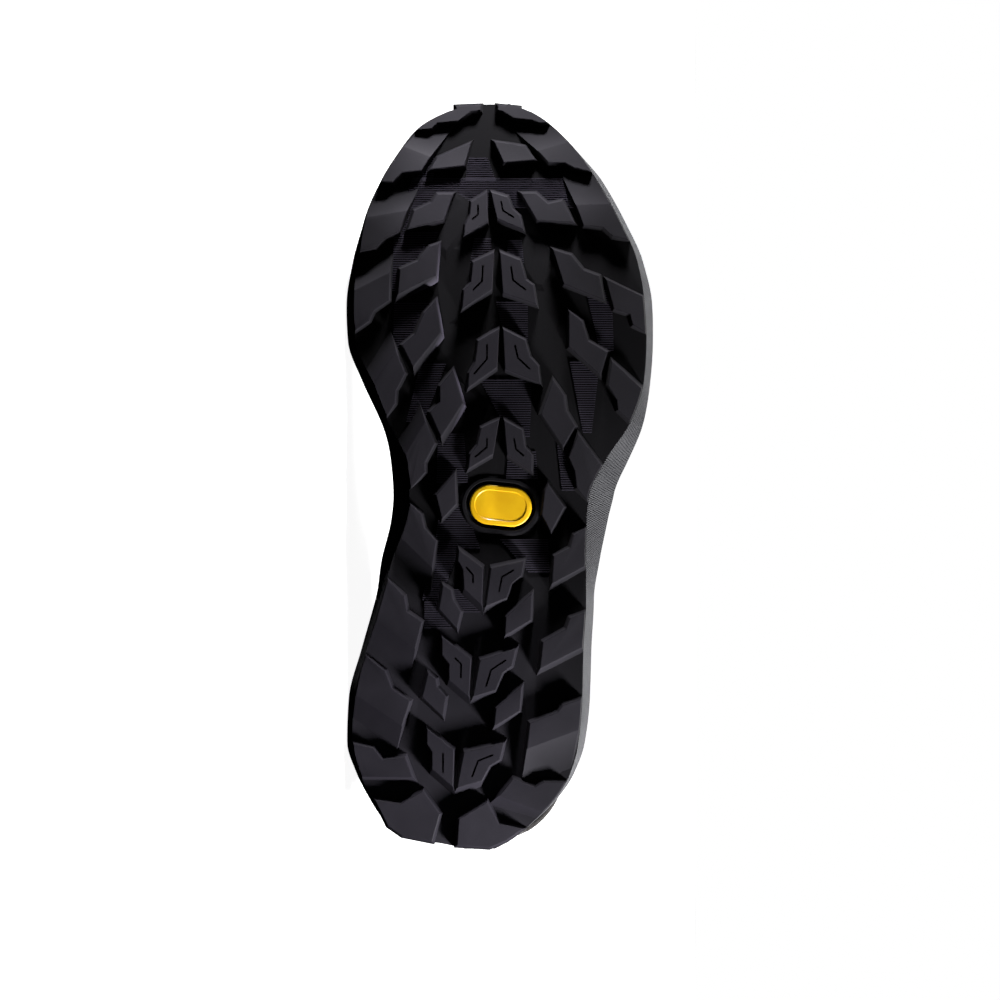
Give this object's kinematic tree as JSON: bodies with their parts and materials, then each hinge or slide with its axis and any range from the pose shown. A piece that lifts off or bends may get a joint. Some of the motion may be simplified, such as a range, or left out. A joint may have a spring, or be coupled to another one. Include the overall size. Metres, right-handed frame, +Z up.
{
  "type": "hiking boot",
  "caption": "Left hiking boot lying on its medial side, with a deeply lugged rubber sole, a hollow laced upper, tongue, toe cap, collar cuff and lace hooks.",
  "frame": {"origin": "centre of the boot's footprint on the floor, as it lies on its medial side", "axes": "+X from toe to heel, -Y the way the tread faces, +Z up, from the medial to the lateral side; the boot is turned about X so that the sole's medial edge and the shaft both rest on the floor"},
  "size_m": [0.3, 0.2072, 0.1236],
  "materials": {
    "outsole_rubber": "matte",
    "midsole_rubber": "matte",
    "badge_plastic": "satin",
    "upper_leather": "matte",
    "trim_leather": "matte",
    "cap_rubber": "matte",
    "textile": "matte",
    "hardware": "satin"
  },
  "bodies": {
    "root": {"outsole": "outsole_rubber", "badge_inlay": "badge_plastic", "midsole": "midsole_rubber", "upper": "upper_leather", "insole": "textile", "tongue": "trim_leather", "eyestay_lateral": "trim_leather", "eyestay_medial": "trim_leather", "toe_cap": "cap_rubber", "heel_counter": "trim_leather", "collar_cuff": "trim_leather", "eyelet_lateral_1": "hardware", "eyelet_lateral_2": "hardware", "eyelet_lateral_3": "hardware", "eyelet_lateral_4": "hardware", "eyelet_medial_1": "hardware", "eyelet_medial_2": "hardware", "eyelet_medial_3": "hardware", "eyelet_medial_4": "hardware", "lace_hook_lateral_1": "hardware", "lace_hook_lateral_2": "hardware", "lace_hook_medial_1": "hardware", "lace_hook_medial_2": "hardware", "lace": "textile", "pull_loop": "textile"}
  },
  "joints": []
}
